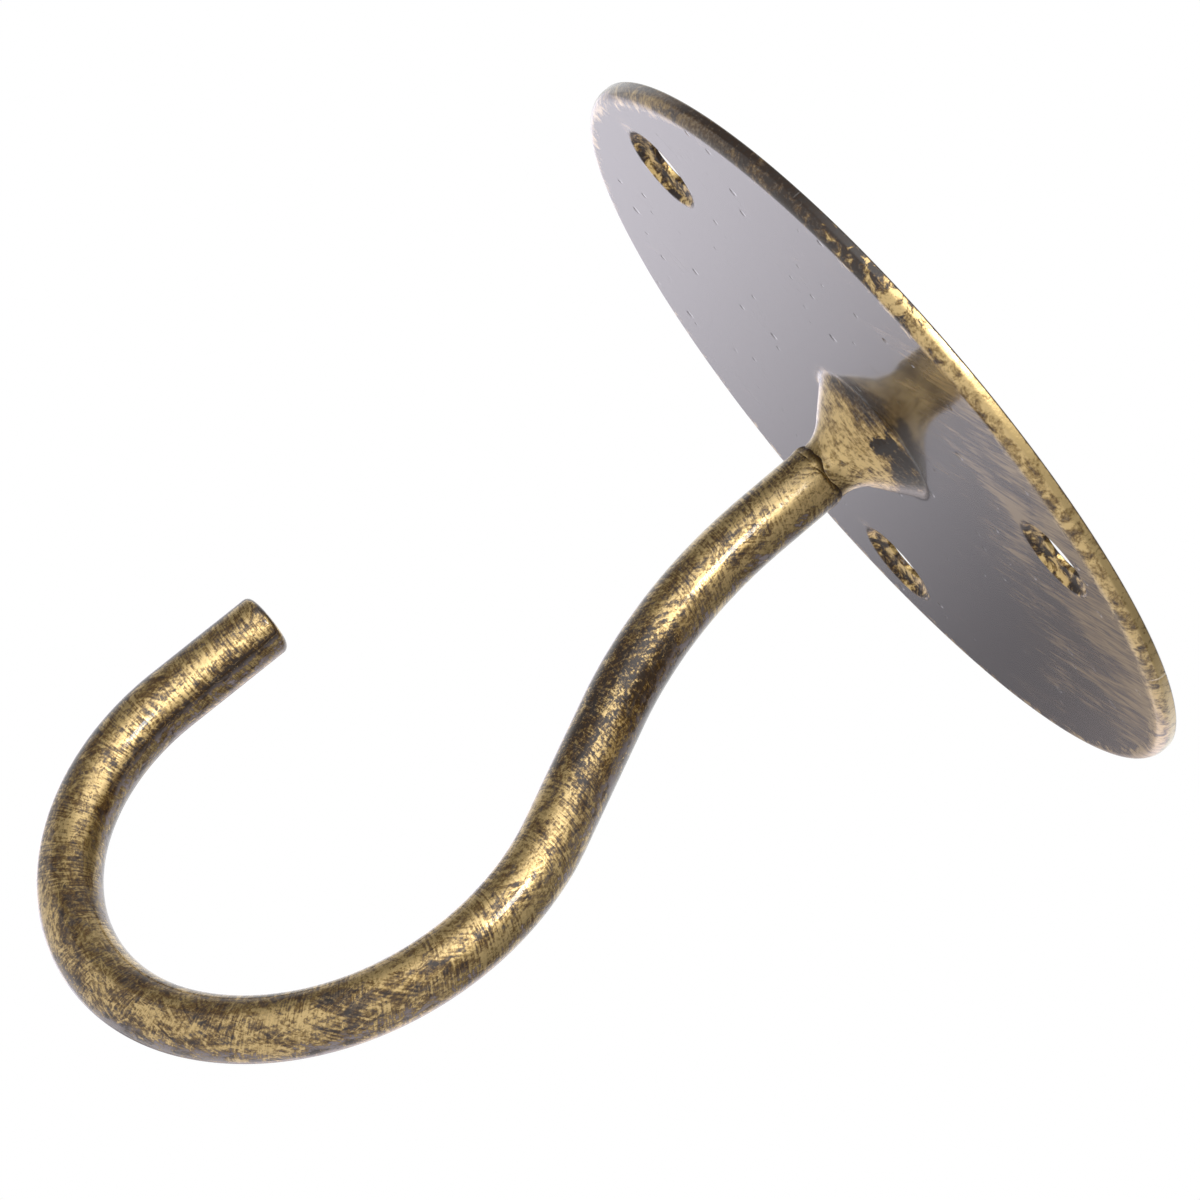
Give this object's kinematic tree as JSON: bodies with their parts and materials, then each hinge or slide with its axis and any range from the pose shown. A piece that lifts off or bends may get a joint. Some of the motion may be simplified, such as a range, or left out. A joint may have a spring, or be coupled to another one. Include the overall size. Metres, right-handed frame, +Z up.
{
  "type": "ceiling hook",
  "caption": "Ceiling hook: a pressed round plate with countersunk screw holes and a drawn neck, carrying a round bar bent to an open loop for a hanging plant, basket or lamp.",
  "frame": {"origin": "centre of the plate, in the plane of the ceiling it is screwed to", "axes": "+Z up into the ceiling along the plate's axis, the hook is bent in the XZ plane with its belly towards +X and its open tip towards -X"},
  "size_m": [0.077, 0.077, 0.0878],
  "materials": {
    "plate_finish": "antique brass: dark brown with gold wiped over it in straight strokes, under gloss lacquer",
    "bar_finish": "antique brass: dark brown with gold brushed over it in short cross strokes, under gloss lacquer"
  },
  "bodies": {
    "root": {"base_plate": "plate_finish", "hook_bar": "bar_finish"}
  },
  "joints": []
}
